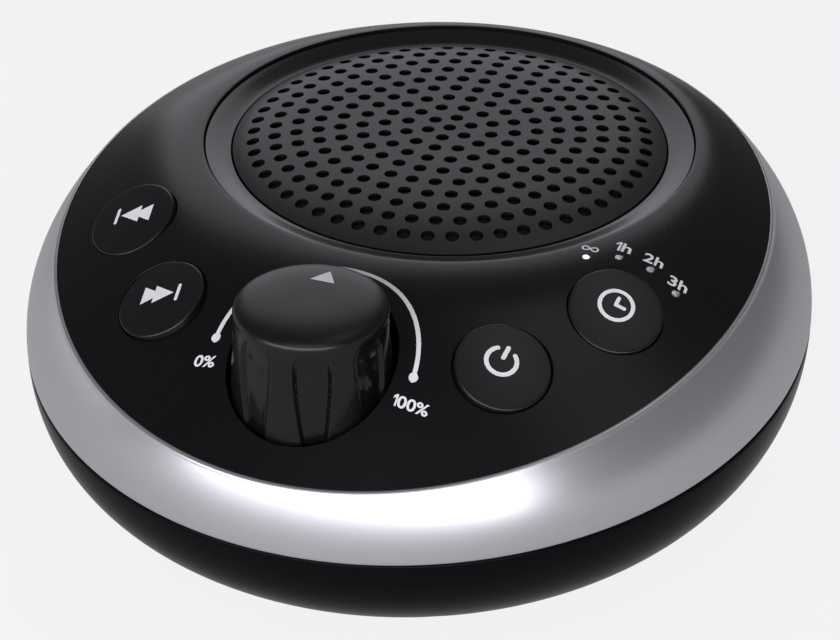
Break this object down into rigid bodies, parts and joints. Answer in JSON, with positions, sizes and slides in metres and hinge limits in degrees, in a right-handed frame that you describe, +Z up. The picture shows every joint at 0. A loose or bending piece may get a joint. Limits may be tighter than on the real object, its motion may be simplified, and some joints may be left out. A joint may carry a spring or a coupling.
{
  "type": "white noise sound machine",
  "caption": "Palm-sized slanted round sound machine with a domed perforated speaker grille, fluted volume knob, press buttons, timer lights and a rear power socket.",
  "frame": {"origin": "on the resting surface under the middle of the body's outline", "axes": "+Z up, -Y the front with the knob, +X to the right seen from the front"},
  "size_m": [0.1136, 0.1182, 0.0507],
  "materials": {
    "gloss_black": "deep gloss black moulding",
    "silver_satin": "fine satin silver paint",
    "satin_black": "satin near-black moulding",
    "gloss_bezel": "mirror-like dark ring",
    "grille_black": "dark satin perforated plate",
    "acoustic_cloth": "thin black cloth",
    "foam": "closed foam",
    "steel_frame": "black coated pressed steel",
    "surround_rubber": "soft rolled rubber",
    "cone_paper": "coated paper",
    "copper": "enamelled copper wire",
    "spider_cloth": "varnished cloth",
    "zinc_steel": "zinc plated",
    "ferrite": "pressed ferrite",
    "screw_steel": "plated screw steel",
    "knob_plastic": "gloss black sides, satin grey top",
    "shaft_metal": "turned shaft",
    "circuit_board": "green solder mask",
    "clear_plastic": "clear light guide",
    "lamp_plastic": "white diffuse lamps",
    "chip_plastic": "moulded package",
    "capacitor_can": "sleeved can",
    "connector_plastic": "ivory nylon",
    "socket_steel": "plated steel shell",
    "button_plastic": "satin black cap",
    "plunger_plastic": "smooth moulded pin",
    "switch_steel": "pressed steel cover",
    "foot_rubber": "soft matt rubber"
  },
  "bodies": {
    "housing": {"amplifier_chip": "chip_plastic", "base_shell": "gloss_black", "bezel_ring": "gloss_bezel", "board_connectors": "connector_plastic", "board_screws": "screw_steel", "button_board_left": "circuit_board", "button_board_right": "circuit_board", "button_board_screws": "screw_steel", "capacitors": "capacitor_can", "case_screws": "screw_steel", "dust_cap": "cone_paper", "grille_cloth": "acoustic_cloth", "magnet_back_plate": "zinc_steel", "magnet_top_plate": "zinc_steel", "main_board": "circuit_board", "main_processor": "chip_plastic", "next_switch": "switch_steel", "potentiometer_nut": "screw_steel", "potentiometer_washer": "screw_steel", "power_switch": "switch_steel", "previous_switch": "switch_steel", "rubber_foot_1": "foot_rubber", "rubber_foot_2": "foot_rubber", "rubber_foot_3": "foot_rubber", "rubber_foot_4": "foot_rubber", "silver_band": "silver_satin", "speaker_cone": "cone_paper", "speaker_frame": "steel_frame", "speaker_gasket": "foam", "speaker_grille": "grille_black", "speaker_magnet": "ferrite", "speaker_screws": "screw_steel", "speaker_spider": "spider_cloth", "speaker_surround": "surround_rubber", "timer_light_guide": "clear_plastic", "timer_lights": "lamp_plastic", "timer_switch": "switch_steel", "top_shell": "satin_black", "usb_socket": "socket_steel", "voice_coil": "copper", "volume_board": "circuit_board", "volume_potentiometer": "zinc_steel"},
    "volume": {"volume_knob": "knob_plastic", "potentiometer_shaft": "shaft_metal"},
    "power": {"power_button": "button_plastic", "power_plunger": "plunger_plastic"},
    "timer": {"timer_button": "button_plastic", "timer_plunger": "plunger_plastic"},
    "next": {"next_button": "button_plastic", "next_plunger": "plunger_plastic"},
    "previous": {"previous_button": "button_plastic", "previous_plunger": "plunger_plastic"}
  },
  "joints": [
    {"name": "volume_turn", "type": "hinge", "parent": "housing", "child": "volume", "pos_m": [0, -0.0412, 0.04], "axis": [0, 0, 1], "range_deg": [-90, 90]},
    {"name": "power_press", "type": "slide", "parent": "housing", "child": "power", "axis": [-0.297, 0.373, -0.879], "range_m": [0, 0.0006], "stiffness_N_per_m": 900},
    {"name": "timer_press", "type": "slide", "parent": "housing", "child": "timer", "axis": [-0.297, 0.373, -0.879], "range_m": [0, 0.0006], "stiffness_N_per_m": 900},
    {"name": "next_press", "type": "slide", "parent": "housing", "child": "next", "axis": [0.297, 0.373, -0.879], "range_m": [0, 0.0006], "stiffness_N_per_m": 900},
    {"name": "previous_press", "type": "slide", "parent": "housing", "child": "previous", "axis": [0.297, 0.373, -0.879], "range_m": [0, 0.0006], "stiffness_N_per_m": 900}
  ]
}
